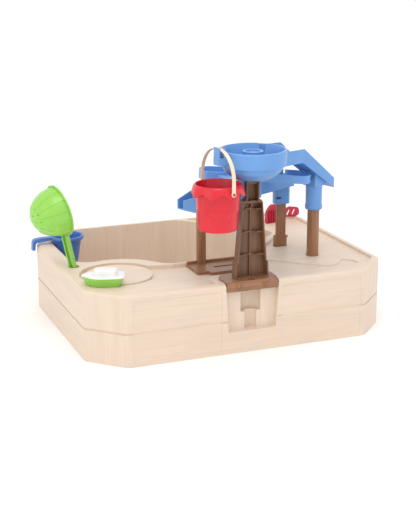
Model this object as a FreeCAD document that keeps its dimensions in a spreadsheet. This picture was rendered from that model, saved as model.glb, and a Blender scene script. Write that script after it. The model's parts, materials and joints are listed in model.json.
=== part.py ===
import FreeCAD, Part

import math
import os

from FreeCAD import Placement, Rotation, Vector

# A sand and water table: one moulded tub with a sand well and a shallow water deck, a brown tower and
# posts that carry three blue water troughs, and the loose toys that hang on it or lie on it.
# Millimetres. +X is right along the front, +Y is towards the back, +Z is up.
# The origin is the middle of the tub's footprint, on the ground under the sand well's floor.

doc = FreeCAD.newDocument("SandWaterTable")

DIMENSIONS = [
    ("tub_length", 1000, "tub, along the front"),
    ("tub_depth", 825, "tub, front to back"),
    ("rim_height", 222, "top of the tub's rim"),
    ("front_chamfer", 105, "front corners of the tub"),
    ("rear_chamfer", 132, "rear corners of the tub"),
    ("tub_wall", 5, "moulded wall"),
    ("floor_thick", 6, "floor of the sand well"),
    ("stream_drop", 13, "stream and moat below the rim"),
    ("deck_drop", 9, "right deck below the rim"),
    ("skin_under", 24, "top skin, rim to hollow underside"),
    ("disc_radius", 105, "round island on the left shelf"),
    ("moat_radius", 122, "moat round the island"),
    ("panel_drop", 1.6, "front panels set back"),
    ("niche_depth", 18, "umbrella niche in the front wall"),
    ("niche_floor", 69, "floor of the umbrella niche"),
    ("ledge_height", 126, "step in the umbrella channel"),
    ("channel_wide", 33, "upper umbrella channel radius"),
    ("channel_narrow", 19.5, "lower umbrella channel radius"),
    ("pole_radius", 12.7, "umbrella pole hole radius"),
    ("pole_boss", 15.7, "tube round the umbrella hole"),
    ("pole_x", 5, "umbrella axis"),
    ("pole_y", -395, "umbrella axis"),
    ("plate_thick", 6, "umbrella plate"),
    ("fascia_drop", 25, "fascia below the rim"),
    ("tower_x", 12, "tower centre"),
    ("tower_front", -390, "front edge of the tower"),
    ("tower_deep", 30, "tower, front to back"),
    ("tower_wall", 4, "tower walls, ribs and shelves"),
    ("rib_recess", 8, "ribs behind the tower's front edges"),
    ("bowl_x", 18, "bowl centre"),
    ("bowl_y", -372, "bowl centre"),
    ("bowl_angle", 22, "direction of the slide"),
    ("bowl_radius", 102.5, "bowl rim"),
    ("bowl_top", 624, "bowl rim height"),
    ("slide_near", 27, "near side of the slide from the bowl's centre line"),
    ("slide_wide", 74.5, "width of the slide"),
    ("trough_wall", 4, "walls of the blue troughs"),
    ("hook_angle", 191, "direction of the bucket hook"),
    ("hook_reach", 124, "bail from the bowl's centre"),
    ("tray_bottom", 478.5, "middle tray"),
    ("tray_pitch", 2.9, "fall of the middle tray to the right"),
    ("tray_tall", 26, "middle tray"),
    ("chute_angle", 19.5, "direction of the lower chute"),
    ("chute_wide", 82, "lower chute"),
    ("left_x", -64, "left post"),
    ("left_y", -156, "left post"),
    ("middle_x", 270, "middle post"),
    ("middle_y", -38, "middle post"),
    ("right_x", 321, "right post"),
    ("right_y", -179, "right post"),
    ("right_radius", 19.5, "right post"),
    ("sleeve_radius", 27, "sleeve on the right post"),
    ("bucket_base", 394, "underside of the hanging bucket"),
    ("bucket_tall", 140, "bucket"),
    ("bucket_top_r", 67.5, "bucket body at the rim"),
    ("bucket_low_r", 59.5, "bucket body at the base"),
    ("petal_r", 82, "scalloped rim"),
    ("bucket_wall", 2.5, "bucket wall"),
    ("pivot_height", 515, "bail pivots"),
    ("bail_radius", 86, "bail arch"),
    ("bail_width", 12, "bail strap"),
    ("bail_thick", 3, "bail strap"),
    ("clear_gap", 0.4, "between a loose piece and what it rests on"),
    ("cup_x", -398, "hook cup"),
    ("cup_y", 246, "hook cup"),
    ("cup_rim_z", 247, "hook cup rim"),
    ("cup_deep", 92, "hook cup"),
    ("strainer_r", 83, "strainer rim"),
    ("dome_deep", 95, "strainer dome"),
    ("strainer_wall", 2.5, "strainer wall"),
    ("drain_x", -200, "drain hole"),
    ("drain_y", 320, "drain hole"),
    ("drain_r", 11, "drain hole"),
    ("plug_slip", 0.05, "radial slip of the drain plug"),
]
sheet = doc.addObject("Spreadsheet::Sheet", "Dimensions")
for row, (alias, value, note) in enumerate(DIMENSIONS, start=1):
    sheet.set(f"A{row}", note)
    sheet.set(f"B{row}", str(value))
    sheet.setAlias(f"B{row}", alias)
doc.recompute()

NODES = []


def size(alias):
    """The value of one cell of the sheet, in millimetres or degrees."""
    return float(sheet.get(alias))


def bind(obj, prop, formula):
    """Tie a property to the sheet; names in the formula are the sheet's aliases with a leading #."""
    obj.setExpression(prop, formula.replace("#", "Dimensions."))


def node(obj, label):
    """Register an object as a sub-part of the table."""
    obj.Label = label
    NODES.append(obj)
    return obj


# ---------------------------------------------------------------------------------------------------
# Outlines and PartDesign helpers
# ---------------------------------------------------------------------------------------------------

def rounded(points):
    """Closed outline as sketch geometry; each point is (x, y) or (x, y, corner radius)."""
    count = len(points)
    ends = []
    pieces = []
    for i in range(count):
        here = Vector(points[i][0], points[i][1], 0)
        radius = points[i][2] if len(points[i]) > 2 else 0
        back = Vector(*points[i - 1][:2], 0).sub(here)
        ahead = Vector(*points[(i + 1) % count][:2], 0).sub(here)
        if radius == 0:
            ends.append((here, None, here))
            continue
        back.normalize()
        ahead.normalize()
        half = back.getAngle(ahead) / 2
        reach = radius / math.tan(half)
        inward = (back + ahead).normalize()
        middle = here + inward * (radius / math.sin(half) - radius)
        ends.append((here + back * reach, middle, here + ahead * reach))
    for i in range(count):
        start, middle, finish = ends[i]
        if middle is not None:
            pieces.append(Part.Arc(start, middle, finish))
        following = ends[(i + 1) % count][0]
        if finish.distanceToPoint(following) > 1e-6:
            pieces.append(Part.LineSegment(finish, following))
    return pieces


def circle(x, y, radius):
    return [Part.Circle(Vector(x, y, 0), Vector(0, 0, 1), radius)]


def mirrored_profile(half_points, centre):
    """A profile that is the same on both sides of x = centre, from (half width, height) points."""
    right = [(centre + w, z) for w, z in half_points]
    left = [(centre - w, z) for w, z in reversed(half_points)]
    return right + left


def sketch(body, name, plane, offset, *outlines):
    """A sketch on one of the body's origin planes; offset is a number or a sheet formula."""
    made = body.newObject("Sketcher::SketchObject", name)
    support = [f for f in body.Origin.OriginFeatures if f.Role == plane][0]
    made.AttachmentSupport = [(support, "")]
    made.MapMode = "FlatFace"
    if isinstance(offset, str):
        bind(made, "AttachmentOffset.Base.z", offset)
    else:
        made.AttachmentOffset = Placement(Vector(0, 0, offset), Rotation())
    for outline in outlines:
        for piece in outline:
            made.addGeometry(piece, False)
    return made


def new_body(label):
    body = doc.addObject("PartDesign::Body", label)
    return node(body, label)


def feature(body, kind, name, profile, length, reverse=False):
    """A Pad or a Pocket; length is a number or a sheet formula."""
    made = body.newObject("PartDesign::" + kind, name)
    made.Profile = profile
    made.Type = 0
    if isinstance(length, str):
        bind(made, "Length", length)
    else:
        made.Length = length
    made.Reversed = reverse
    body.Tip = made
    return made


def pad(body, name, plane, offset, length, *outlines, reverse=False):
    profile = sketch(body, name + "_outline", plane, offset, *outlines)
    return feature(body, "Pad", name, profile, length, reverse)


def pocket(body, name, plane, offset, length, *outlines, reverse=False):
    profile = sketch(body, name + "_outline", plane, offset, *outlines)
    return feature(body, "Pocket", name, profile, length, reverse)


def turned(body, name, outline, cut=False):
    """A revolution, or a groove, of a profile in the body's XZ plane."""
    profile = sketch(body, name + "_profile", "XZ_Plane", 0, outline)
    made = body.newObject("PartDesign::" + ("Groove" if cut else "Revolution"), name)
    made.Profile = profile
    made.ReferenceAxis = (profile, ["V_Axis"])
    made.Angle = 360
    body.Tip = made
    return made


def place(obj, x, y, z, angle=0):
    """Stand an object at x, y, z (numbers or sheet formulas), turned about the vertical."""
    for letter, value in (("x", x), ("y", y), ("z", z)):
        bind(obj, "Placement.Base." + letter, str(value))
    bind(obj, "Placement.Rotation.Yaw", str(angle))


def box_outline(x_low, x_high, y_low, y_high, radius=0):
    return rounded([(x_low, y_low, radius), (x_high, y_low, radius),
                    (x_high, y_high, radius), (x_low, y_high, radius)])


# ---------------------------------------------------------------------------------------------------
# Tub: one hollow moulding, open underneath
# ---------------------------------------------------------------------------------------------------

HALF_LENGTH = size("tub_length") / 2
HALF_DEPTH = size("tub_depth") / 2
WELL_LEFT = -450
WELL_BACK = 391
DISC = (-347, -177)


def tub_outline(inset, front_round, rear_round):
    """The tub's eight-sided outline, moved inwards by inset."""
    x = HALF_LENGTH - inset
    y = HALF_DEPTH - inset
    slack = inset * (2 - math.sqrt(2))
    front = size("front_chamfer") - slack
    rear = size("rear_chamfer") - slack
    return rounded([
        (-x + front, -y, front_round), (x - front, -y, front_round),
        (x, -y + front, front_round), (x, y - rear, rear_round),
        (x - rear, y, rear_round), (-x + rear, y, rear_round),
        (-x, y - rear, rear_round), (-x, -y + front, front_round)])


def well_outline(grow):
    """The sand well: a wavy front edge round the island, and a slanted right end. grow widens it."""
    g = grow
    return rounded([
        (WELL_LEFT - g, 5 - g, 30 + g), (-392, -24 - g, 60), (-256.7, 0.3 - g, 165 - g),
        (-175 + g * 0.3, -132 - g, 75 + g), (62 + g * 0.4, -132 - g, 35 + g),
        (322 + g * 1.4, 112, 45 + g), (52 + g * 0.4, WELL_BACK + g, 40 + g),
        (-335, WELL_BACK + g, 60), (WELL_LEFT - g, 276, 60)])


def make_tub():
    tub = new_body("tub")
    pad(tub, "tub_block", "XY_Plane", 0, "#rim_height", tub_outline(0, 34, 78))
    doc.recompute()
    rim = size("rim_height")
    block = tub.Tip
    edges = [f"Edge{i}" for i, e in enumerate(block.Shape.Edges, start=1)
             if all(abs(v.Z - rim) < 1e-3 for v in e.Vertexes)]
    soft = tub.newObject("PartDesign::Fillet", "soft_rim")
    soft.Base = (block, edges)
    soft.Radius = 10
    tub.Tip = soft
    pocket(tub, "underside", "XY_Plane", 0, "#rim_height - #skin_under",
           tub_outline(size("tub_wall"), 28, 72), well_outline(size("tub_wall")), reverse=True)
    # the front wall steps in behind the umbrella niche, so the hollow is refilled there
    wall = size("tub_wall")
    front = -HALF_DEPTH
    back_of_niche = front + size("niche_depth") + wall
    back_of_channel = size("pole_y") + size("channel_wide") + wall
    channel_side = size("channel_wide") + wall
    pole_x = size("pole_x")
    pad(tub, "niche_wall", "XY_Plane", "#niche_floor - #tub_wall",
        "#rim_height - #skin_under - #niche_floor + #tub_wall + 1",
        rounded([(-92, front + 1), (102, front + 1), (102, back_of_niche),
                 (pole_x + channel_side, back_of_niche), (pole_x + channel_side, back_of_channel),
                 (pole_x - channel_side, back_of_channel), (pole_x - channel_side, back_of_niche),
                 (-92, back_of_niche)]))
    pocket(tub, "sand_well", "XY_Plane", "#rim_height", "#rim_height - #floor_thick",
           well_outline(0))
    disc_x, disc_y = DISC
    pocket(tub, "moat", "XY_Plane", "#rim_height", "#stream_drop",
           circle(disc_x, disc_y, size("moat_radius")), circle(disc_x, disc_y, size("disc_radius")))
    pocket(tub, "island_top", "XY_Plane", "#rim_height", 2,
           circle(disc_x, disc_y, size("disc_radius") + 0.5))
    pocket(tub, "stream", "XY_Plane", "#rim_height", "#stream_drop", rounded([
        (-275, -275), (-150, -386, 50), (-104, -386, 8), (-104, -306, 14), (120, -306, 14),
        (120, -386, 8), (345, -388, 60), (450, -292, 40), (385, -258, 10), (334, -328, 45),
        (242, -252, 60), (162, -176, 60), (66, -158, 10), (66, -142, 6), (-165, -142, 30),
        (-236, -128), (-236, -215)]))
    pocket(tub, "right_deck", "XY_Plane", "#rim_height", "#deck_drop", rounded([
        (88, -166), (346, 110, 50), (92, 374, 10), (92, 391, 8), (362, 391, 74), (479, 276, 74),
        (479, -298, 30), (440, -336, 30), (330, -345), (242, -270), (150, -195)]))
    niche_top = 88
    niche_low = 78
    pocket(tub, "umbrella_niche", "XZ_Plane", HALF_DEPTH, "#niche_depth", rounded([
        (pole_x - niche_low, size("niche_floor"), 4), (pole_x + niche_low, size("niche_floor"), 4),
        (pole_x + niche_top, rim + 1), (pole_x - niche_top, rim + 1)]))
    pocket(tub, "wide_channel", "XY_Plane", "#rim_height", "#rim_height - #ledge_height",
           circle(pole_x, size("pole_y"), size("channel_wide")))
    pocket(tub, "narrow_channel", "XY_Plane", "#rim_height", "#rim_height - #niche_floor",
           circle(pole_x, size("pole_y"), size("channel_narrow")))
    pocket(tub, "handle_hole", "XY_Plane", "#rim_height", 20, circle(-455, -50, 18))
    pocket(tub, "post_notch", "XY_Plane", "#rim_height", 15,
           box_outline(size("middle_x") - 22, size("middle_x") + 22,
                       size("middle_y") - 9, size("middle_y") + 13, 3))
    pocket(tub, "drain_hole", "XY_Plane", "#rim_height", "#rim_height",
           circle(size("drain_x"), size("drain_y"), size("drain_r")))
    # shallow front panels on both sides of the niche, and the groove between the planks
    panel_end = HALF_LENGTH - size("front_chamfer") - 17
    panel_top = rim - 20
    pocket(tub, "front_panels", "XZ_Plane", HALF_DEPTH, "#panel_drop",
           box_outline(-panel_end, pole_x - 100, 12, panel_top, 5),
           box_outline(pole_x + 100, panel_end, 12, panel_top, 5))
    pocket(tub, "plank_groove", "XY_Plane", 107, 6, tub_outline(-8, 34, 78), tub_outline(3, 31, 75))
    return tub


# ---------------------------------------------------------------------------------------------------
# Brown pieces: umbrella plate, tower, bridge plate and posts
# ---------------------------------------------------------------------------------------------------

def make_umbrella_plate():
    plate = new_body("umbrella_plate")
    mid = size("pole_x")
    pad(plate, "plate", "XY_Plane", "#rim_height", "#plate_thick", rounded([
        (mid - 84, -411, 14), (mid + 84, -411, 14), (mid + 90, -318, 40), (mid - 90, -318, 40)]))
    pad(plate, "fascia", "XY_Plane", "#rim_height", "#fascia_drop",
        box_outline(mid - 84, mid + 84, -411, -406), reverse=True)
    pad(plate, "boss", "XY_Plane", "#rim_height - #fascia_drop", "#fascia_drop + #plate_thick",
        circle(mid, size("pole_y"), size("pole_boss")))
    for side in (-1, 1):
        tab = mid + side * 46
        pad(plate, "tab_left" if side < 0 else "tab_right", "XZ_Plane", 411, 1.2,
            rounded([(tab, 201), (tab + 8, 218), (tab - 8, 218)]))
    pocket(plate, "pole_hole", "XY_Plane", "#rim_height + #plate_thick", 40,
           circle(mid, size("pole_y"), size("pole_radius")))
    return plate


TOWER_PROFILE = [(55, 0), (53, 49), (48, 52), (33, 234), (29, 242), (21.5, 244), (21.5, 308)]
SHELVES = (71, 142, 213)
NECK_RIB = 293


def tower_half_width(height):
    """Half the tower's outer width at a height above the plate."""
    for (low_w, low_z), (high_w, high_z) in zip(TOWER_PROFILE, TOWER_PROFILE[1:]):
        if low_z <= height <= high_z:
            return low_w + (high_w - low_w) * (height - low_z) / (high_z - low_z)
    return TOWER_PROFILE[-1][0]


def make_tower():
    tower = new_body("tower")
    foot = size("rim_height") + size("plate_thick")
    mid = size("tower_x")
    wall = size("tower_wall")
    outer = mirrored_profile([(w, foot + z) for w, z in TOWER_PROFILE], mid)
    pad(tower, "channel", "XZ_Plane", "-1 * #tower_front", "#tower_deep", rounded(outer), reverse=True)
    inner_levels = [wall, 49, 52, 234 - wall, 238 - wall]
    inner = [(tower_half_width(z) - wall, foot + z) for z in inner_levels]
    neck = TOWER_PROFILE[-1][0] - wall
    inner += [(neck, foot + 240 - wall), (neck, foot + 298)]
    pocket(tower, "front_recess", "XZ_Plane", "-1 * #tower_front", "#rib_recess",
           rounded(mirrored_profile(inner, mid)))
    bays = []
    levels = [wall] + [z for shelf in SHELVES for z in (shelf - wall / 2, shelf + wall / 2)] + [236 - wall]
    for low, high in zip(levels[0::2], levels[1::2]):
        kinks = [z for z in (49, 52) if low < z < high]
        for side in (-1, 1):
            edge = [(mid + side * (tower_half_width(z) - wall), foot + z) for z in [low] + kinks + [high]]
            rib = [(mid + side * wall / 2, foot + high), (mid + side * wall / 2, foot + low)]
            bays.append(rounded(edge + rib))
    bays.append(box_outline(mid - neck, mid + neck, foot + 240, foot + NECK_RIB - 2))
    pocket(tower, "bays", "XZ_Plane", "-1 * #tower_front", "#tower_deep - #tower_wall", *bays)
    pocket(tower, "pole_relief", "XY_Plane", foot + SHELVES[-1] + 6, SHELVES[-1] + 10,
           circle(size("pole_x"), size("pole_y"), 25))
    return tower


def make_bridge_plate():
    bridge = new_body("bridge_plate")
    floor = "#rim_height - #stream_drop"
    pad(bridge, "slab", "XY_Plane", floor, 10, rounded([
        (-110, -246, 4), (-73, -246, 2), (-73, -262, 2), (62, -262, 4), (62, -144, 3), (-110, -144, 3)]))
    pad(bridge, "rear_lip", "XY_Plane", floor, 18, box_outline(-110, 62, -152, -144, 2))
    # seat cut into the lip for the left post
    left_x = size("left_x")
    left_y = size("left_y")
    pocket(bridge, "post_seat", "XY_Plane", "#rim_height + 10", 13,
           box_outline(left_x - 13, left_x + 13, left_y - 11, left_y + 11))
    pocket(bridge, "slot", "XY_Plane", "#rim_height", 9, box_outline(-42, 34, -214, -202, 5.9))
    return bridge


def make_posts():
    rim = size("rim_height")
    left = new_body("post_left")
    pad(left, "left_bar", "XY_Plane", "#rim_height - 3", "384 - #rim_height + 3",
        box_outline(-13, 13, -11, 11, 3))
    pocket(left, "left_hollow", "XY_Plane", "#rim_height - 3", 161,
           box_outline(-10, 10, -8, 8, 1), reverse=True)
    place(left, "#left_x", "#left_y", 0)
    middle = new_body("post_middle")
    pad(middle, "middle_bar", "XZ_Plane", 7, 14, rounded([
        (-16, rim - 15, 6), (16, rim - 15, 6), (16, 421), (-16, 421)]), reverse=True)
    pocket(middle, "middle_hollow", "XZ_Plane", -7, 11, rounded([
        (-13, rim - 10, 4), (13, rim - 10, 4), (13, 417), (-13, 417)]))
    place(middle, "#middle_x", "#middle_y", 0)
    foot = new_body("post_foot")
    pad(foot, "foot_back", "XZ_Plane", -7, 5, rounded([
        (-21, rim - 15, 8), (21, rim - 15, 8), (21, rim + 27, 2), (-21, rim + 27, 2)]), reverse=True)
    for name, low, high in (("foot_left", -21, -16), ("foot_right", 16, 21)):
        pad(foot, name, "XZ_Plane", 6, 13.5, box_outline(low, high, rim - 8, rim + 26), reverse=True)
    pad(foot, "foot_tab", "XZ_Plane", 4, 14, box_outline(20.5, 26, rim + 20, rim + 26, 1), reverse=True)
    place(foot, "#middle_x", "#middle_y", 0)
    right = new_body("post_right")
    pad(right, "right_tube", "XY_Plane", "#rim_height - #deck_drop", "450 - #rim_height + #deck_drop",
        circle(0, 0, size("right_radius")))
    pad(right, "right_flange", "XY_Plane", "#rim_height - #deck_drop", 2.5, circle(0, 0, 22))
    pocket(right, "right_hollow", "XY_Plane", "#rim_height - #deck_drop", 233,
           circle(0, 0, size("right_radius") - 3), reverse=True)
    place(right, "#right_x", "#right_y", 0)


# ---------------------------------------------------------------------------------------------------
# Blue pieces: bowl with its slide, middle tray, lower chute and the two sleeves
# ---------------------------------------------------------------------------------------------------

SOCKET = [(-33, -16), (-21.5, -16), (-21.5, 0), (21.5, 0), (21.5, -16), (33, -16), (33, 9), (-33, 9)]
BOWL_FOOT = 536
COLUMN_TOP = 614
PEG_HEIGHT = 632
PEG_RADIUS = 4.5
SLIDE_TOP = [(60, 588), (261, 584), (407, 471)]
SLIDE_LOW = [(407, 439), (255, 541), (60, 541)]


def make_top_bowl():
    bowl = new_body("top_bowl")
    top = size("bowl_top")
    rim = size("bowl_radius")
    near = size("slide_near")
    wide = size("slide_wide")
    wall = size("trough_wall")
    turned(bowl, "bowl_shell", rounded([
        (0, BOWL_FOOT), (56, BOWL_FOOT, 18), (89, 561, 22), (93, 577), (rim, 577, 1.5), (rim, top, 3.5),
        (0, top)]))
    middle_y = near + wide / 2
    slide_shape = rounded([(s, z) for s, z in SLIDE_TOP + SLIDE_LOW])
    pad(bowl, "slide_block", "XZ_Plane", -near, wide, slide_shape, reverse=True)
    inner_floor = [(411, 471), (411, 441.5), (256.5, 546), (78, 546), (78, 640), (411, 640)]
    pocket(bowl, "slide_channel", "XZ_Plane", -(near + wall), wide - 2 * wall, rounded(inner_floor))
    turned(bowl, "bowl_inside", rounded([
        (0, BOWL_FOOT + 8), (52, BOWL_FOOT + 8, 14), (82, 568, 22), (rim - 9, top - 5), (rim - 7, top + 1),
        (0, top + 1)]), cut=True)
    # the rim runs on over the mouth of the slide
    turned(bowl, "rim_ring", rounded([
        (rim - 8.4, 608), (rim - 0.5, 608), (rim - 0.5, top - 1, 3), (rim - 8.1, top - 1, 3)]))
    # the far side of the slide falls away sooner than the near side
    pocket(bowl, "far_side", "XZ_Plane", -(near + wide - wall - 1), wall + 2, rounded([
        (244, 600), (244, 584), (407, 471), (420, 471), (420, 600)]))
    # and next to the bowl it stands higher than the near side
    pad(bowl, "far_wall", "XZ_Plane", -(near + wide - wall), wall, rounded([
        (84, 570), (84, 608), (226, 601, 10), (246, 585), (246, 560)]), reverse=True)
    # column in the middle, with a raised ring and a rosette of slots on top
    column_foot = BOWL_FOOT + 6
    pad(bowl, "column", "XY_Plane", column_foot, COLUMN_TOP - column_foot, circle(0, 0, 31))
    pad(bowl, "drain_ring", "XY_Plane", COLUMN_TOP - 1, 5, circle(0, 0, 31), circle(0, 0, 24))
    slots = []
    for i in range(6):
        turn = math.radians(60 * i)
        slots.append(circle(14 * math.cos(turn), 14 * math.sin(turn), 4))
    pocket(bowl, "rosette", "XY_Plane", COLUMN_TOP, 5, *slots)
    pad(bowl, "leg_web", "XZ_Plane", -(middle_y - 26), 52, rounded([
        (327, 450), (381, 450), (381, 459), (327, 495)]), reverse=True)
    hook = math.radians(size("hook_angle") - size("bowl_angle"))
    along = Vector(math.cos(hook), math.sin(hook), 0)
    across = Vector(-along.y, along.x, 0)

    def hook_part(name, low_r, high_r, low_z, high_z):
        corners = [along * low_r - across * 7, along * high_r - across * 7,
                   along * high_r + across * 21, along * low_r + across * 21]
        pad(bowl, name, "XY_Plane", low_z, high_z - low_z, rounded([(c.x, c.y) for c in corners]))

    reach = size("hook_reach")
    strap_side = size("bail_width") / 2 + 0.6
    hook_part("hook_arm", rim - 4, reach + strap_side + 5, 590, 612)
    hook_part("hook_stop", reach - strap_side - 5, reach - strap_side, 611, 640)
    hook_part("hook_finger", reach + strap_side, reach + strap_side + 4, 611, 642)
    # round peg that the bail hangs on
    peg_plane = sketch(bowl, "hook_peg_outline", "YZ_Plane", 0, circle(0, PEG_HEIGHT, PEG_RADIUS))
    peg_plane.AttachmentOffset = Placement(
        Vector(0, 0, 0), Rotation(Vector(0, 1, 0), size("hook_angle") - size("bowl_angle")))
    peg_plane.AttachmentOffset.Base = peg_plane.AttachmentOffset.Rotation.multVec(
        Vector(0, 0, reach - strap_side - 2))
    feature(bowl, "Pad", "hook_peg", peg_plane, 2 * strap_side + 4)
    # socket that grips the tower's neck from behind
    turn = math.radians(-size("bowl_angle"))
    grip = []
    neck_back = size("tower_front") + size("tower_deep")
    for x, y in SOCKET:
        dx = size("tower_x") + x - size("bowl_x")
        dy = neck_back + y - size("bowl_y")
        grip.append((dx * math.cos(turn) - dy * math.sin(turn), dx * math.sin(turn) + dy * math.cos(turn)))
    pad(bowl, "neck_socket", "XY_Plane", 474, BOWL_FOOT + 4 - 474, rounded(grip))
    place(bowl, "#bowl_x", "#bowl_y", 0, "#bowl_angle")
    return bowl


TRAY_MIDDLE = 120
TRAY = [(-60, -128, 30), (262, -256, 26), (292, -215, 20), (276, -152, 30), (-26, -34, 45)]
TRAY_INSIDE = [(-54, -125, 27), (260, -250.5, 22), (286, -214, 16), (272, -156, 27), (-25, -40, 41)]


def make_mid_tray():
    tray = new_body("mid_tray")
    shifted = [(p[0] - TRAY_MIDDLE, *p[1:]) for p in TRAY]
    inner = [(p[0] - TRAY_MIDDLE, *p[1:]) for p in TRAY_INSIDE]
    pad(tray, "tray_block", "XY_Plane", 0, "#tray_tall", rounded(shifted))
    # arm that reaches forward to the socket on the tower's neck
    mid = size("tower_x") - TRAY_MIDDLE
    socket_back = size("tower_front") + size("tower_deep") + 9
    pad(tray, "arm", "XY_Plane", 0, "#tray_tall - 8", box_outline(mid - 20, mid + 20, socket_back, -150))
    pocket(tray, "tray_inside", "XY_Plane", "#tray_tall", "#tray_tall - #trough_wall", rounded(inner))
    pocket(tray, "outlet", "XY_Plane", "#tray_tall", 40, circle(228 - TRAY_MIDDLE, -148, 14))
    place(tray, TRAY_MIDDLE, 0, "#tray_bottom")
    bind(tray, "Placement.Rotation.Pitch", "#tray_pitch")
    return tray


CHUTE_TOP = [(-63, 432), (-10, 452), (376, 460)]
CHUTE_LOW = [(376, 425), (227, 417), (-10, 385), (-63, 401.5)]
CHUTE_FLOOR = [(372, 429.5), (227, 421.5), (-10, 389.5), (-80, 411.2)]


def make_lower_chute():
    """A long trough whose left end narrows to a spout with a raised lip."""
    half = size("chute_wide") / 2
    wall = size("trough_wall")

    def slab(name, upright, outline, low, high):
        face = doc.addObject("Part::Feature", name + "_face")
        wire = Part.Wire([piece.toShape() for piece in outline])
        face.Shape = Part.Face(wire)
        if upright:
            face.Placement = Placement(Vector(0, high, 0), Rotation(Vector(1, 0, 0), 90))
        else:
            face.Placement = Placement(Vector(0, 0, low), Rotation())
        made = doc.addObject("Part::Extrusion", name)
        made.Base = face
        made.DirMode = "Custom"
        made.Dir = Vector(0, -1, 0) if upright else Vector(0, 0, 1)
        made.LengthFwd = high - low
        made.Solid = True
        return made

    outer_plan = rounded([(-63, half), (-63, 9, 8), (-6, -half, 20), (376, -half, 4), (376, half, 4)])
    inner_plan = rounded([(-90, half - wall), (-90, 36), (-4, -half + wall, 18),
                          (372, -half + wall, 2), (372, half - wall, 2)])
    outer = doc.addObject("Part::MultiCommon", "chute_outside")
    outer.Shapes = [slab("chute_side", True, rounded(CHUTE_TOP + CHUTE_LOW), -half, half),
                    slab("chute_plan", False, outer_plan, 380, 480)]
    inner = doc.addObject("Part::MultiCommon", "chute_inside")
    inner.Shapes = [slab("chute_hollow", True, rounded([(-80, 480), (372, 480)] + CHUTE_FLOOR), -half, half),
                    slab("chute_hollow_plan", False, inner_plan, 380, 480)]
    trough = doc.addObject("Part::Cut", "chute_trough")
    trough.Base = outer
    trough.Tool = inner
    # spigots that the left post and the middle sleeve push onto
    turn = math.radians(-size("chute_angle"))
    to_middle = math.hypot(size("middle_x") - size("left_x"), size("middle_y") - size("left_y"))

    def spigot(name, along, half_x, half_y, low_z, high_z):
        corners = []
        for x, y in ((-half_x, -half_y), (half_x, -half_y), (half_x, half_y), (-half_x, half_y)):
            corners.append((along + x * math.cos(turn) - y * math.sin(turn),
                            x * math.sin(turn) + y * math.cos(turn)))
        return slab(name, False, rounded(corners), low_z, high_z)

    chute = doc.addObject("Part::MultiFuse", "lower_chute")
    chute.Shapes = [trough, spigot("left_spigot", 0, 13, 11, 384, 390),
                    spigot("middle_spigot", to_middle, 26, 17, 422, 427)]
    place(chute, "#left_x", "#left_y", 0, "#chute_angle")
    return node(chute, "lower_chute")


def make_sleeves():
    middle = new_body("collar_middle")
    pad(middle, "middle_sleeve", "XY_Plane", 362, 60, box_outline(-27.5, 27.5, -18, 18, 12))
    pocket(middle, "middle_bore", "XY_Plane", 422, 60, box_outline(-16, 16, -7, 7))
    pocket(middle, "window", "XZ_Plane", 20, 13, box_outline(-24, -8, 380, 388))
    place(middle, "#middle_x", "#middle_y", 0)
    right = new_body("collar_right")
    inner = size("right_radius")
    outer = size("sleeve_radius")
    turned(right, "right_sleeve", rounded([
        (inner, 370), (outer - 0.5, 370, 1.5), (outer + 1.5, 375, 1.5), (outer + 1.5, 384, 1.5),
        (outer - 0.5, 388, 1), (outer, 450), (inner, 450)]))
    place(right, "#right_x", "#right_y", 0)


# ---------------------------------------------------------------------------------------------------
# Bucket and bail
# ---------------------------------------------------------------------------------------------------

def bucket_axis():
    angle = math.radians(size("hook_angle"))
    return (size("bowl_x") + size("hook_reach") * math.cos(angle),
            size("bowl_y") + size("hook_reach") * math.sin(angle))


PIN_RADIUS = 4


def make_bucket():
    """Tapered pail with a drooping rim; the local X axis runs through the bail pivots."""
    bucket = new_body("bucket")
    base = size("bucket_base")
    top = base + size("bucket_tall")
    low_r = size("bucket_low_r")
    top_r = size("bucket_top_r")
    wall = size("bucket_wall")
    petal = size("petal_r")
    turned(bucket, "pail", rounded([
        (0, base), (low_r, base, 7), (top_r, top - 8), (petal, top - 35), (petal, top - 31),
        (top_r + 2, top, 1), (top_r - wall, top), (low_r - wall, base + wall, 5), (0, base + wall)]))
    pivot = size("pivot_height")
    for side in (-1, 1):
        pad(bucket, "ear_near" if side > 0 else "ear_far", "YZ_Plane", side * 66, 14,
            circle(0, pivot, 7), reverse=side < 0)
        pad(bucket, "pin_near" if side > 0 else "pin_far", "YZ_Plane", side * 79, 9.5,
            circle(0, pivot, PIN_RADIUS), reverse=side < 0)
    x, y = bucket_axis()
    place(bucket, x, y, 0, size("hook_angle") - 270)
    return bucket


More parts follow.
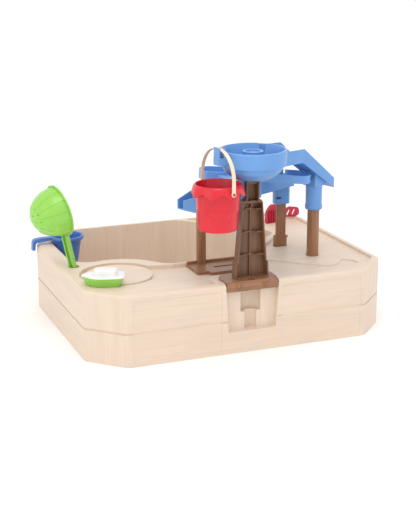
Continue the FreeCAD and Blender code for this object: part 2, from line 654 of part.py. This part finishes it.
def make_bail():
    """Flat strap bent to an arch, with a round eye on each bucket pin."""
    bail = new_body("bucket_bail")
    pivot = size("pivot_height")
    radius = size("bail_radius")
    thick = size("bail_thick")
    width = size("bail_width")
    inside_top = 637
    rise = inside_top + thick - pivot - radius
    outer = [Part.LineSegment(Vector(radius, pivot, 0), Vector(radius, pivot + rise, 0)),
             Part.Arc(Vector(radius, pivot + rise, 0), Vector(0, pivot + rise + radius, 0),
                      Vector(-radius, pivot + rise, 0)),
             Part.LineSegment(Vector(-radius, pivot + rise, 0), Vector(-radius, pivot, 0))]
    inner_r = radius - thick
    inner = [Part.LineSegment(Vector(-inner_r, pivot, 0), Vector(-inner_r, pivot + rise, 0)),
             Part.Arc(Vector(-inner_r, pivot + rise, 0), Vector(0, pivot + rise + inner_r, 0),
                      Vector(inner_r, pivot + rise, 0)),
             Part.LineSegment(Vector(inner_r, pivot + rise, 0), Vector(inner_r, pivot, 0))]
    feet = [Part.LineSegment(Vector(-radius, pivot, 0), Vector(-inner_r, pivot, 0)),
            Part.LineSegment(Vector(inner_r, pivot, 0), Vector(radius, pivot, 0))]
    pad(bail, "arch", "XZ_Plane", width / 2, width, outer + [feet[0]] + inner + [feet[1]], reverse=True)
    for side in (-1, 1):
        pad(bail, "eye_near" if side > 0 else "eye_far", "YZ_Plane", side * inner_r, thick,
            circle(0, pivot, 7.5), reverse=side < 0)
    pocket(bail, "pin_holes", "YZ_Plane", -100, 200, circle(0, pivot, PIN_RADIUS + 0.05), reverse=True)
    x, y = bucket_axis()
    place(bail, x, y, 0, size("hook_angle") - 270)
    return bail


# ---------------------------------------------------------------------------------------------------
# Drain plug and the toys on the rim
# ---------------------------------------------------------------------------------------------------

def make_drain_plug():
    plug = new_body("drain_plug")
    stem = size("drain_r") - size("plug_slip")
    gap = size("clear_gap")
    floor = size("floor_thick")
    turned(plug, "plug", rounded([
        (0, gap), (stem, gap), (stem, floor + gap), (17, floor + gap), (17, floor + gap + 3, 1.5),
        (5, floor + gap + 3), (5, floor + 12, 2), (0, floor + 12)]))
    place(plug, "#drain_x", "#drain_y", 0)
    return plug


def make_hook_cup():
    """Tapered cup in the well with a long handle that hooks over the left wall."""
    cup = new_body("hook_cup")
    top = size("cup_rim_z")
    base = top - size("cup_deep")
    turned(cup, "cup_shell", rounded([
        (0, base), (37, base, 5), (49, top - 12), (55, top - 13, 1), (59, top - 7, 3), (57, top, 3),
        (49, top - 1, 2), (35, base + 2.5, 4), (0, base + 2.5)]))
    hook_out = -HALF_LENGTH - 10 - size("cup_x")
    land_gap = size("rim_height") + size("clear_gap")
    pad(cup, "handle", "XZ_Plane", 11, 22, rounded([
        (-54, top - 12), (-54, top - 2), (-88, top - 2, 8), (hook_out - 7, top - 6, 14),
        (hook_out - 10, 205), (hook_out, 205), (hook_out + 3, land_gap + 8, 8), (-88, land_gap + 9, 8)]),
        reverse=True)
    place(cup, "#cup_x", "#cup_y", 0)
    return cup


def make_strainer():
    """Ribbed half-round strainer on a straight handle that stands in the rim's hole."""
    rim = size("strainer_r")
    deep = size("dome_deep")
    wall = size("strainer_wall")
    dome = doc.addObject("Part::Feature", "dome_profile")
    outer = Part.Ellipse(Vector(0, 0, 0), deep, rim - 6)
    inner = Part.Ellipse(Vector(0, 0, 0), deep - wall, rim - 6 - wall)

    def quarter(ellipse, flip):
        arc = ellipse.toShape(math.pi, 1.5 * math.pi)
        shape = arc.copy()
        shape.rotate(Vector(0, 0, 0), Vector(1, 0, 0), flip)
        return shape

    big = quarter(outer, 180)
    small = quarter(inner, 180)
    apex_big = Vector(-deep, 0, 0)
    apex_small = Vector(-deep + wall, 0, 0)
    edges = [big, small,
             Part.LineSegment(apex_big, apex_small).toShape(),
             Part.LineSegment(Vector(0, rim - 6, 0), Vector(0, rim, 0)).toShape(),
             Part.LineSegment(Vector(0, rim, 0), Vector(5, rim, 0)).toShape(),
             Part.LineSegment(Vector(5, rim, 0), Vector(5, rim - 6 - wall, 0)).toShape(),
             Part.LineSegment(Vector(5, rim - 6 - wall, 0), Vector(0, rim - 6 - wall, 0)).toShape()]
    dome.Shape = Part.Face(Part.Wire(Part.__sortEdges__(edges)))
    shell = doc.addObject("Part::Revolution", "dome_shell")
    shell.Source = dome
    shell.Axis = Vector(1, 0, 0)
    shell.Angle = 360
    shell.Solid = True
    shell.Symmetric = False
    holes = []
    for ring, count in ((0, 1), (20, 6), (38, 10)):
        for i in range(count):
            angle = 2 * math.pi * i / count
            hole = doc.addObject("Part::Cylinder", f"drain_{ring}_{i}")
            hole.Radius = 2.5
            hole.Height = 40
            hole.Placement = Placement(
                Vector(-deep - 5, ring * math.cos(angle), ring * math.sin(angle)),
                Rotation(Vector(0, 1, 0), 90))
            holes.append(hole)
    drilled = doc.addObject("Part::MultiFuse", "dome_drills")
    drilled.Shapes = holes
    pierced = doc.addObject("Part::Cut", "dome_pierced")
    pierced.Base = shell
    pierced.Tool = drilled
    # local X is the opening's normal and local -Z points down the handle
    normal = Vector(0.955, 0.186, 0.223).normalize()
    upward = (Vector(0, 0, 1) - normal * normal.z).normalize()
    sideways = upward.cross(normal)
    turn = Rotation(normal, sideways, upward, "XZY")
    centre = Vector(-494, -40, 405)
    foot = Vector(-455, -50, size("rim_height") - 20 + size("clear_gap") + 3)
    local = turn.inverted().multVec(foot - centre)
    start = Vector(-1, 0, -rim + 4)
    direction = local - start
    length = direction.Length
    lean = Rotation(Vector(0, 0, 1), direction)
    bars = []
    for name, wide, thick in (("handle_web", 4, 15), ("handle_front", 20, 4), ("handle_back", 20, 4)):
        bar = doc.addObject("Part::Box", name)
        bar.Length = thick
        bar.Width = wide
        bar.Height = length
        shift = {"handle_web": -7.5, "handle_front": 5, "handle_back": -9}[name]
        bar.Placement = Placement(start + lean.multVec(Vector(shift, -wide / 2, 0)), lean)
        bars.append(bar)
    whole = doc.addObject("Part::MultiFuse", "strainer")
    whole.Shapes = [pierced] + bars
    whole.Placement = Placement(centre, turn)
    return node(whole, "strainer")


BOAT_LENGTH = 137
BOAT_WIDTH = 90


def boat_outline(scale_x, scale_y):
    """Pointed bow to the left, broad stern to the right, as (x, y, radius) points."""
    bow = -BOAT_LENGTH / 2 * scale_x
    stern = BOAT_LENGTH / 2 * scale_x
    side = BOAT_WIDTH / 2 * scale_y
    return [(bow, 0, 14 * scale_x), (bow * 0.25, -side, 60 * scale_x), (stern, -side * 0.8, 14),
            (stern, side * 0.8, 14), (bow * 0.25, side, 60 * scale_x)]


def make_boat():
    base = size("rim_height") + size("clear_gap")
    angle = -20
    spot = (-428, -268, 0)
    hull = new_body("boat_hull")
    low = sketch(hull, "keel_outline", "XY_Plane", base, rounded(boat_outline(0.8, 0.72)))
    high = sketch(hull, "gunwale_outline", "XY_Plane", base + 27, rounded(boat_outline(0.98, 0.96)))
    loft = hull.newObject("PartDesign::AdditiveLoft", "hull_shell")
    loft.Profile = low
    loft.Sections = [high]
    loft.Ruled = True
    hull.Tip = loft
    pocket(hull, "hull_inside", "XY_Plane", base + 27, 24, rounded(boat_outline(0.74, 0.64)))
    place(hull, *spot, angle)
    deck = new_body("boat_deck")
    pad(deck, "deck_slab", "XY_Plane", base + 27, 5, rounded(boat_outline(1, 1)))
    pad(deck, "cabin", "XY_Plane", base + 32, 16, rounded([
        (-22, -24, 10), (46, -24, 12), (46, 24, 12), (-22, 24, 10)]))
    place(deck, *spot, angle)


def make_hand_rake():
    """Ribbed blade standing on the rear deck, with a flat slotted handle that rests on the rim."""
    rake = new_body("hand_rake")
    deck = size("rim_height") - size("deck_drop") + size("clear_gap")
    rim = size("rim_height") + size("clear_gap")
    pad(rake, "rake_handle", "XZ_Plane", 3, 6, rounded([
        (40, deck + 16), (96, rim + 4, 20), (128, rim, 8), (150, rim + 6, 12), (146, rim + 34, 14),
        (104, rim + 42, 14), (60, rim + 26, 20), (40, rim + 34)]), reverse=True)
    pad(rake, "rake_blade", "XZ_Plane", 7, 14, rounded([
        (0, deck, 5), (54, deck, 5), (58, deck + 30, 8), (50, deck + 66, 10), (22, deck + 69, 20),
        (2, deck + 44, 14)]), reverse=True)
    slots = []
    for start in (88, 112):
        slots.append(rounded([(start, rim + 9, 4), (start + 10, rim + 9, 4),
                              (start + 22, rim + 30, 4), (start + 12, rim + 30, 4)]))
    pocket(rake, "handle_slots", "XZ_Plane", 10, 20, *slots)
    for start in (6, 16, 26, 36, 46):
        pocket(rake, f"rib_gap_{start}", "XZ_Plane", 7, 4,
               box_outline(start, start + 5, deck - 1, deck + 48))
    place(rake, 347, 252, 0, 11)
    return rake


make_tub()
make_drain_plug()
make_umbrella_plate()
make_tower()
make_bridge_plate()
make_posts()
make_top_bowl()
make_mid_tray()
make_lower_chute()
make_sleeves()
make_bucket()
make_bail()
make_hook_cup()
make_strainer()
make_boat()
make_hand_rake()

# ---------------------------------------------------------------------------------------------------
# Recompute, test and export
# ---------------------------------------------------------------------------------------------------

doc.recompute()
for obj in doc.Objects:
    if "Invalid" in obj.State or "Error" in obj.State:
        raise RuntimeError(f"{obj.Name} failed: {obj.State} {obj.getStatusString()}")
os.makedirs("parts", exist_ok=True)
for part in NODES:
    shape = part.Shape
    if shape.isNull() or not shape.isValid() or not shape.Solids:
        raise RuntimeError(f"{part.Label} has no valid shape")
    bounds = shape.BoundBox
    print(f"{part.Label:16s} solids {len(shape.Solids)} volume {shape.Volume / 1000:9.1f} cm3  "
          f"x {bounds.XMin:7.1f} {bounds.XMax:7.1f}  y {bounds.YMin:7.1f} {bounds.YMax:7.1f}  "
          f"z {bounds.ZMin:6.1f} {bounds.ZMax:6.1f}")
    shape.exportStep(os.path.join("parts", part.Label + ".step"))
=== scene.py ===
import json
import math

import bmesh
import bpy
from mathutils import Matrix, Vector

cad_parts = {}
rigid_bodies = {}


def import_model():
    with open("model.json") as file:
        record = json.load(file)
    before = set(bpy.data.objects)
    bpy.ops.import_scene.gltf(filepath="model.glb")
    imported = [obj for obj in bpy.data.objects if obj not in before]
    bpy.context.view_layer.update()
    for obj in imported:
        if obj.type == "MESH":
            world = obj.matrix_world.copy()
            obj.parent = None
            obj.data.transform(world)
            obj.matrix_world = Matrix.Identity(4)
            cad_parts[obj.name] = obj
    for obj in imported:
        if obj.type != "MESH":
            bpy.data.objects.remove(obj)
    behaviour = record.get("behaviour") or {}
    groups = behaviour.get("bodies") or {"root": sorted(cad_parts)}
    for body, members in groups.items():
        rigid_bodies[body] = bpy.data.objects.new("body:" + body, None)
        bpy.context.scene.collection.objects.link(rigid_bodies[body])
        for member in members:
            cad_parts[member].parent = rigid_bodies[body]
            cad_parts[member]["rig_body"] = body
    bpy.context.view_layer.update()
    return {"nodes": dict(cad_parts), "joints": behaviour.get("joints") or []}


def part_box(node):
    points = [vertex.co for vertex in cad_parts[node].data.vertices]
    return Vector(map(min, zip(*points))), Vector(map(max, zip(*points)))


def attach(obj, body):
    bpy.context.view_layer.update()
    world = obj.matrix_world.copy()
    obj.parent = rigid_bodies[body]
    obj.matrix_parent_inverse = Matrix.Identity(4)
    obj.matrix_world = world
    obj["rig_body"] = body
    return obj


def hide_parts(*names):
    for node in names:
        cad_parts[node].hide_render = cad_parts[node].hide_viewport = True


# Sand and water table. Lengths are metres, in the part's own frame: +X right, +Y back, +Z up.

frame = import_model()
MM = 0.001
# edges that turn more than this are sharp, and moulding rounds them
SHARP = math.radians(32)
MERGE_DISTANCE = 2e-6
FLAT_ANGLE = math.radians(0.6)


# ---------------------------------------------------------------------------------------------------
# Materials
# ---------------------------------------------------------------------------------------------------

def shader(name, colour, roughness, coat=0.0):
    """A Principled material, and its node tree and shader node."""
    made = bpy.data.materials.new(name)
    made.use_nodes = True
    tree = made.node_tree
    bsdf = tree.nodes["Principled BSDF"]
    bsdf.inputs["Base Color"].default_value = (*colour, 1)
    bsdf.inputs["Roughness"].default_value = roughness
    bsdf.inputs["IOR"].default_value = 1.49
    bsdf.inputs["Coat Weight"].default_value = coat
    bsdf.inputs["Coat Roughness"].default_value = 0.25
    return made, tree, bsdf


def noise(tree, scales, detail, distortion=0.0):
    """Noise in object space; scales are cells per metre along X, Y and Z."""
    place = tree.nodes.new("ShaderNodeTexCoord")
    mapping = tree.nodes.new("ShaderNodeMapping")
    mapping.inputs["Scale"].default_value = scales
    tree.links.new(place.outputs["Object"], mapping.inputs["Vector"])
    made = tree.nodes.new("ShaderNodeTexNoise")
    made.inputs["Scale"].default_value = 1.0
    made.inputs["Detail"].default_value = detail
    made.inputs["Distortion"].default_value = distortion
    tree.links.new(mapping.outputs["Vector"], made.inputs["Vector"])
    return made


def ramp(tree, source, low, high, dark, light):
    """Colour between dark and light as the source goes from low to high."""
    made = tree.nodes.new("ShaderNodeValToRGB")
    made.color_ramp.elements[0].position = low
    made.color_ramp.elements[0].color = (*dark, 1)
    made.color_ramp.elements[1].position = high
    made.color_ramp.elements[1].color = (*light, 1)
    tree.links.new(source, made.inputs["Fac"])
    return made


def bump(tree, bsdf, source, distance, strength, below=None):
    """Relief from a source, on top of another bump node's if one is given; distance in metres."""
    made = tree.nodes.new("ShaderNodeBump")
    made.inputs["Distance"].default_value = distance
    made.inputs["Strength"].default_value = strength
    tree.links.new(source, made.inputs["Height"])
    if below:
        tree.links.new(below.outputs["Normal"], made.inputs["Normal"])
    tree.links.new(made.outputs["Normal"], bsdf.inputs["Normal"])
    return made


def shade(colour, factor):
    """A colour made darker or lighter."""
    return tuple(c * factor for c in colour)


def wood_plastic(name, colour, along, contrast, roughness, depth):
    """Moulded plastic with a wood grain that runs along one axis: streaks in tone, gloss and relief."""
    made, tree, bsdf = shader(name, colour, roughness)
    streaks = [210.0, 210.0, 210.0]
    broad = [24.0, 24.0, 24.0]
    streaks["XYZ".index(along)] = 6.0
    broad["XYZ".index(along)] = 2.6
    fine = noise(tree, streaks, 8, 0.6)
    wide = noise(tree, broad, 5, 1.8)
    both = tree.nodes.new("ShaderNodeMix")
    both.data_type = "FLOAT"
    both.inputs["Factor"].default_value = 0.55
    tree.links.new(fine.outputs["Fac"], both.inputs[2])
    tree.links.new(wide.outputs["Fac"], both.inputs[3])
    dark = shade(colour, 1 - contrast)
    light = shade(colour, 1 + contrast * 0.4)
    tones = ramp(tree, both.outputs[0], 0.36, 0.62, dark, light)
    tree.links.new(tones.outputs["Color"], bsdf.inputs["Base Color"])
    gloss = tree.nodes.new("ShaderNodeMapRange")
    gloss.inputs["To Min"].default_value = roughness - 0.07
    gloss.inputs["To Max"].default_value = roughness + 0.09
    tree.links.new(fine.outputs["Fac"], gloss.inputs["Value"])
    tree.links.new(gloss.outputs["Result"], bsdf.inputs["Roughness"])
    grit = noise(tree, (900.0, 900.0, 900.0), 2)
    first = bump(tree, bsdf, grit.outputs["Fac"], 0.0002, 0.25)
    bump(tree, bsdf, both.outputs[0], depth, 0.8, first)
    return made


def moulded_plastic(name, colour, roughness, coat=0.1, through=0.0):
    """Smooth moulded plastic: faint flow marks in its tone, uneven gloss and a very fine orange peel."""
    made, tree, bsdf = shader(name, colour, roughness, coat)
    flow = noise(tree, (14.0, 14.0, 9.0), 3, 0.8)
    tones = ramp(tree, flow.outputs["Fac"], 0.3, 0.7, shade(colour, 0.93), shade(colour, 1.05))
    tree.links.new(tones.outputs["Color"], bsdf.inputs["Base Color"])
    gloss = tree.nodes.new("ShaderNodeMapRange")
    gloss.inputs["To Min"].default_value = roughness - 0.06
    gloss.inputs["To Max"].default_value = roughness + 0.08
    tree.links.new(flow.outputs["Fac"], gloss.inputs["Value"])
    tree.links.new(gloss.outputs["Result"], bsdf.inputs["Roughness"])
    bsdf.inputs["Subsurface Weight"].default_value = through
    bsdf.inputs["Subsurface Radius"].default_value = (0.004, 0.003, 0.002)
    peel = noise(tree, (420.0, 420.0, 420.0), 2)
    bump(tree, bsdf, peel.outputs["Fac"], 0.00012, 0.35)
    return made


TAN = (0.76, 0.612, 0.485)
BROWN = (0.33, 0.155, 0.075)
tub_along = wood_plastic("tub_grain_along", TAN, "X", 0.065, 0.46, 0.0004)
tub_side = wood_plastic("tub_grain_side", TAN, "Y", 0.065, 0.46, 0.0004)
tub_upright = wood_plastic("tub_grain_upright", TAN, "Z", 0.065, 0.46, 0.0004)
brown_upright = wood_plastic("brown_grain_upright", BROWN, "Z", 0.34, 0.36, 0.0007)
# the tower's brown is the posts' brown at 0.62: partly a darker brown of its own, partly painted shade for
# the shade in its hollows
tower_brown_and_painted_shade = wood_plastic("tower_grain_upright_painted_shade", shade(BROWN, 0.62), "Z", 0.34, 0.36, 0.0007)
brown_along = wood_plastic("brown_grain_along", BROWN, "X", 0.34, 0.36, 0.0007)
blue = moulded_plastic("blue_moulded", (0.135, 0.325, 0.68), 0.30)
cup_blue = moulded_plastic("cup_blue_moulded", (0.05, 0.16, 0.50), 0.33)
red = moulded_plastic("red_moulded", (0.70, 0.010, 0.026), 0.27, 0.1, 0.03)
crimson = moulded_plastic("crimson_moulded", (0.50, 0.006, 0.045), 0.33)
green = moulded_plastic("green_moulded", (0.285, 0.62, 0.085), 0.24, 0.2, 0.08)
white = moulded_plastic("white_moulded", (0.80, 0.80, 0.79), 0.38)
beige = moulded_plastic("beige_moulded", (0.84, 0.70, 0.52), 0.33)


# ---------------------------------------------------------------------------------------------------
# Pieces
# ---------------------------------------------------------------------------------------------------

def finish_piece(obj, node, material):
    """Give a piece its look, put it on its body and let it stand for its node."""
    obj.data.materials.clear()
    obj.data.materials.append(material)
    body = frame["nodes"][node]["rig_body"]
    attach(obj, body)
    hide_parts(node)
    return obj


def object_from(name, bm):
    """An object from a bmesh, smooth except at its sharp edges."""
    for face in bm.faces:
        face.smooth = True
    for edge in bm.edges:
        edge.smooth = len(edge.link_faces) == 2 and edge.calc_face_angle(0) < SHARP
    mesh = bpy.data.meshes.new(name)
    bm.to_mesh(mesh)
    bm.free()
    obj = bpy.data.objects.new(name, mesh)
    bpy.context.scene.collection.objects.link(obj)
    return obj


def clean_copy(node):
    """A node's mesh with its triangles joined into flat faces."""
    bm = bmesh.new()
    bm.from_mesh(frame["nodes"][node].data)
    bmesh.ops.remove_doubles(bm, verts=bm.verts, dist=MERGE_DISTANCE)
    bmesh.ops.dissolve_limit(bm, angle_limit=FLAT_ANGLE, verts=bm.verts, edges=bm.edges,
                             delimit=set())
    return bm


def round_edges(obj, width, segments):
    """A bevel on the sharp edges of an object."""
    rounder = obj.modifiers.new("edges", "BEVEL")
    rounder.width = width
    rounder.segments = segments
    rounder.limit_method = "ANGLE"
    rounder.harden_normals = True
    return rounder


def softened(node, radius, material, segments=3):
    """The node's own shape with every sharp edge rounded, as it comes out of a mould."""
    obj = object_from(node + "_moulding", clean_copy(node))
    rounder = round_edges(obj, radius * MM, segments)
    rounder.angle_limit = SHARP
    rounder.use_clamp_overlap = True
    rounder.miter_outer = "MITER_ARC"
    return finish_piece(obj, node, material)


# millimetres of rounding on the tub's edges
TUB_EDGE = 3.0
# metres: a face this close to the tub's box is part of its outer wall
OUTER_BAND = 0.012
LEVEL = 0.5
SQUARE_ON = 0.9


def make_tub():
    """The tub takes one of three grains: along its front and deck, along its sides, upright elsewhere."""
    tub = softened("tub", TUB_EDGE, tub_along, 4)
    tub.data.materials.append(tub_side)
    tub.data.materials.append(tub_upright)
    low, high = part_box("tub")
    for face in tub.data.polygons:
        n = face.normal
        at = face.center
        if abs(n.z) > LEVEL:
            continue
        outer_x = at.x < low.x + OUTER_BAND or at.x > high.x - OUTER_BAND
        outer_y = at.y < low.y + OUTER_BAND or at.y > high.y - OUTER_BAND
        if outer_y and abs(n.y) > SQUARE_ON:
            continue
        if outer_x and abs(n.x) > SQUARE_ON:
            face.material_index = 1
        else:
            face.material_index = 2
    return tub


PETALS = 8
PAIL_STEPS = 192
PAIL_FLOOR = 0.0025
# on each side of the pail: name, radius, and distances from its middle where it starts and ends
EAR_AND_PIN = (("ear", 0.0070, 0.0660, 0.0800), ("pin", 0.0040, 0.0800, 0.0885))


def pail_outline(base, top, lobe):
    """(radius, z) points round the pail's wall; lobe is 0 between petals and 1 at a petal's middle."""
    droop = 0.0215 + 0.0135 * lobe ** 0.7
    reach = 0.0785 + 0.0034 * lobe
    outside = [(0.0, base), (0.0525, base), (0.0570, base + 0.0012), (0.0592, base + 0.0045),
               (0.0600, base + 0.012), (0.0632, base + 0.060), (0.0640, base + 0.0615),
               (0.0640, base + 0.0650), (0.0636, base + 0.0665), (0.0665, base + 0.108),
               (0.0672, top - 0.012)]
    under_petal = [(0.069, top - 0.010), (0.5 * (0.069 + reach), top - 0.35 * droop - 0.008),
                   (reach - 0.002, top - droop + 0.0015)]
    over_petal = [(reach - 0.001, top - droop), (reach, top - droop + 0.0008),
                  (reach - 0.0005, top - droop + 0.004), (reach - 0.003, top - 0.55 * droop),
                  (0.0725, top - 0.0035), (0.0700, top - 0.0008), (0.0680, top), (0.0660, top - 0.0012),
                  (0.0650, top - 0.004)]
    inside = [(0.0570, base + 0.008), (0.0545, base + 0.0032), (0.051, base + PAIL_FLOOR),
              (0.0, base + PAIL_FLOOR)]
    return outside + under_petal + over_petal + inside


def make_pail(centre, base, top, start):
    """The pail's wall, turned about the upright line through centre; a petal's middle is at start."""
    bm = bmesh.new()
    count = len(pail_outline(base, top, 0))
    bottom = bm.verts.new((centre.x, centre.y, base))
    floor = bm.verts.new((centre.x, centre.y, base + PAIL_FLOOR))
    rings = []
    for i in range(PAIL_STEPS):
        angle = 2 * math.pi * i / PAIL_STEPS
        lobe = 0.5 + 0.5 * math.cos(PETALS * (angle - start))
        row = [bottom]
        for radius, z in pail_outline(base, top, lobe)[1:-1]:
            x = centre.x + radius * math.cos(angle)
            y = centre.y + radius * math.sin(angle)
            row.append(bm.verts.new((x, y, z)))
        row.append(floor)
        rings.append(row)
    for i in range(PAIL_STEPS):
        here = rings[i]
        there = rings[(i + 1) % PAIL_STEPS]
        for k in range(count - 1):
            corners = []
            for vert in (here[k], there[k], there[k + 1], here[k + 1]):
                if vert not in corners:
                    corners.append(vert)
            bm.faces.new(corners)
    bmesh.ops.recalc_face_normals(bm, faces=bm.faces)
    return object_from("bucket_pail", bm)


def make_bucket():
    """Tapered pail whose rim turns over into drooping petals, with its ears and pins."""
    low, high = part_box("bucket")
    hinge = [j for j in frame["joints"] if j["name"] == "bucket_pivot"][0]
    centre = Vector(hinge["pos_m"])
    pin_axis = Vector(hinge["axis"])
    pail = make_pail(centre, low.z, high.z, math.atan2(pin_axis.y, pin_axis.x))
    finish_piece(pail, "bucket", red)
    for side, letter in ((-1, "b"), (1, "a")):
        for name, radius, start_at, finish_at in EAR_AND_PIN:
            bm = bmesh.new()
            bmesh.ops.create_cone(bm, cap_ends=True, segments=48, radius1=radius, radius2=radius,
                                  depth=finish_at - start_at)
            turn = Vector((0, 0, 1)).rotation_difference(pin_axis * side).to_matrix().to_4x4()
            middle = centre + pin_axis * side * (start_at + finish_at) / 2
            bm.transform(Matrix.Translation(middle) @ turn)
            piece = object_from(f"bucket_{name}_{letter}", bm)
            round_edges(piece, 0.8 * MM, 3)
            piece.data.materials.append(red)
            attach(piece, "bucket")


def rod(name, points, radius, material, body):
    """A round bead along a line of points."""
    curve = bpy.data.curves.new(name, "CURVE")
    curve.dimensions = "3D"
    curve.bevel_depth = radius
    curve.bevel_resolution = 3
    curve.use_fill_caps = True
    line = curve.splines.new("POLY")
    line.points.add(len(points) - 1)
    for point, at in zip(line.points, points):
        point.co = (*at, 1)
    obj = bpy.data.objects.new(name, curve)
    bpy.context.scene.collection.objects.link(obj)
    curve.materials.append(material)
    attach(obj, body)
    return obj


def strainer_frame():
    """The dome's centre, and the directions of its opening, its side and its top."""
    opening = Vector((0.955, 0.186, 0.223)).normalized()
    top = (Vector((0, 0, 1)) - opening * opening.z).normalized()
    side = top.cross(opening)
    return Vector((-0.494, -0.040, 0.405)), opening, side, top


DOME_DEEP = 0.095
DOME_RADIUS = 0.077
RIBS = 14
RIB_STEPS = 18
# degrees from the flange towards the crown
RIB_FIRST = 2
RIB_LAST = 59
# metres: where a nub starts and ends past the dome's radius, and how far it is behind the opening
NUB_START = -0.001
NUB_END = 0.0052
NUB_BEHIND = 0.001
# points round an outline, and the half angle of the wedge that each is looked for in
LOOP_STEPS = 48
LOOP_WEDGE = math.pi / 10


def make_strainer():
    """The strainer's ribs run from its flange to the drilled crown, and each ends in a nub on the flange."""
    softened("strainer", 0.6, green, 2)
    centre, opening, side, top = strainer_frame()
    for i in range(RIBS):
        around = 2 * math.pi * (i + 0.5) / RIBS
        out = side * math.cos(around) + top * math.sin(around)
        points = []
        for k in range(RIB_STEPS + 1):
            angle = math.radians(RIB_FIRST + (RIB_LAST - RIB_FIRST) * k / RIB_STEPS)
            across = out * DOME_RADIUS * math.cos(angle)
            points.append(centre + across - opening * DOME_DEEP * math.sin(angle))
        rod(f"strainer_rib_{i:02d}", points, 1.6 * MM, green, "strainer")
        nub = [centre + out * (DOME_RADIUS + NUB_START) - opening * NUB_BEHIND,
               centre + out * (DOME_RADIUS + NUB_END) - opening * NUB_BEHIND]
        rod(f"strainer_nub_{i:02d}", nub, 1.8 * MM, green, "strainer")


def outer_loop(node, height):
    """The outer outline of a node at one height, as points in order round its middle."""
    bm = bmesh.new()
    bm.from_mesh(frame["nodes"][node].data)
    bm.transform(frame["nodes"][node].matrix_world)
    cut = bmesh.ops.bisect_plane(bm, geom=bm.verts[:] + bm.edges[:] + bm.faces[:], dist=1e-6,
                                 plane_co=(0, 0, height), plane_no=(0, 0, 1))["geom_cut"]
    points = [v.co.copy() for v in cut if isinstance(v, bmesh.types.BMVert)]
    bm.free()
    middle = sum(points, Vector()) / len(points)
    outline = []
    for k in range(LOOP_STEPS):
        angle = 2 * math.pi * k / LOOP_STEPS
        aim = Vector((math.cos(angle), math.sin(angle), 0))
        near = [p for p in points if (p - middle).normalized().dot(aim) > math.cos(LOOP_WEDGE)]
        if near:
            outline.append(max(near, key=lambda p: (p - middle).dot(aim)))
    return [p for i, p in enumerate(outline) if (p - outline[i - 1]).length > 1e-5]


def make_boat():
    """Round-edged hull with two raised bands, and its soft white deck."""
    softened("boat_hull", 2.0, green)
    softened("boat_deck", 3.5, white, 5)
    low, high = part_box("boat_hull")
    for name, share in (("low", 0.45), ("high", 0.75)):
        points = outer_loop("boat_hull", low.z + (high.z - low.z) * share)
        rod("boat_band_" + name, points + points[:1], 1.3 * MM, green, "boat")


CLIP_OFFSET = 0.044
CLIP_TOP = 0.022
CLIP_MIDDLE = 0.014
CLIP_RADIUS = 0.007
CLIP_SPREAD = 0.010
CLIP_STEPS = 12


def make_fascia_clips():
    """Two moulded U ribs on the umbrella plate's fascia, either side of the pole hole."""
    low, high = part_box("umbrella_plate")
    middle = (low.x + high.x) / 2
    for side, name in ((-1, "left"), (1, "right")):
        x = middle + side * CLIP_OFFSET
        points = [(x - CLIP_SPREAD, low.y, low.z + CLIP_TOP)]
        for k in range(CLIP_STEPS + 1):
            turn = math.pi * k / CLIP_STEPS
            points.append((x - CLIP_RADIUS * math.cos(turn), low.y,
                           low.z + CLIP_MIDDLE - CLIP_RADIUS * math.sin(turn)))
        points.append((x + CLIP_SPREAD, low.y, low.z + CLIP_TOP))
        rod("fascia_clip_" + name, points, 1.4 * MM, brown_along, "table")


make_tub()
make_fascia_clips()
softened("tower", 1.1, tower_brown_and_painted_shade)
for node in ("post_left", "post_middle", "post_foot", "post_right"):
    softened(node, 1.1, brown_upright)
for node in ("umbrella_plate", "bridge_plate"):
    softened(node, 1.4, brown_along)
softened("drain_plug", 0.5, brown_along)
for node, radius in (("top_bowl", 1.6), ("mid_tray", 1.6), ("lower_chute", 1.6), ("collar_middle", 1.5),
                     ("collar_right", 1.0)):
    softened(node, radius, blue)
make_bucket()
softened("bucket_bail", 0.7, beige)
softened("hook_cup", 0.7, cup_blue)
make_strainer()
make_boat()

softened("hand_rake", 1.2, crimson)


# ---------------------------------------------------------------------------------------------------
# Floor, light and camera
# ---------------------------------------------------------------------------------------------------

# metres and degrees: the camera's place, how far it looks down and how far it is turned to the right
CAMERA_PLACE = (-1.389, -3.559, 1.293)
LOOK_DOWN = 16.23
TURN_RIGHT = 21.62
FLOOR_HALF_SIDE = 30


def make_floor():
    """A plain white floor."""
    bm = bmesh.new()
    bmesh.ops.create_grid(bm, x_segments=1, y_segments=1, size=FLOOR_HALF_SIDE)
    floor = object_from("floor", bm)
    floor.data.materials.append(shader("floor_paper", (0.97, 0.97, 0.97), 0.9)[0])


def area_light(name, place, aim, size, power):
    """A square white light at a place, turned to what it aims at; size in metres, power in watts."""
    data = bpy.data.lights.new(name, "AREA")
    data.shape = "SQUARE"
    data.size = size
    data.energy = power
    lamp = bpy.data.objects.new(name, data)
    lamp.location = place
    lamp.rotation_euler = (Vector(aim) - Vector(place)).to_track_quat("-Z", "Y").to_euler()
    bpy.context.scene.collection.objects.link(lamp)


def make_camera():
    """A long lens from the front left, a little above the table."""
    data = bpy.data.cameras.new("camera")
    data.lens = 82.26
    data.sensor_width = 36
    data.clip_end = 100
    camera = bpy.data.objects.new("camera", data)
    camera.location = CAMERA_PLACE
    camera.rotation_euler = (math.radians(90 - LOOK_DOWN), 0, math.radians(-TURN_RIGHT))
    bpy.context.scene.collection.objects.link(camera)
    bpy.context.scene.camera = camera


make_floor()
world = bpy.data.worlds.new("studio")
world.use_nodes = True
world.node_tree.nodes["Background"].inputs["Color"].default_value = (1, 1, 1, 1)
world.node_tree.nodes["Background"].inputs["Strength"].default_value = 1.03
bpy.context.scene.world = world
area_light("key", (-0.6, -1.6, 3.8), (0, 0, 0.3), 2.0, 34)
area_light("side", (-3.6, -1.8, 2.2), (0, 0, 0.25), 2.2, 12)
bpy.context.scene.view_settings.view_transform = "Standard"
make_camera()
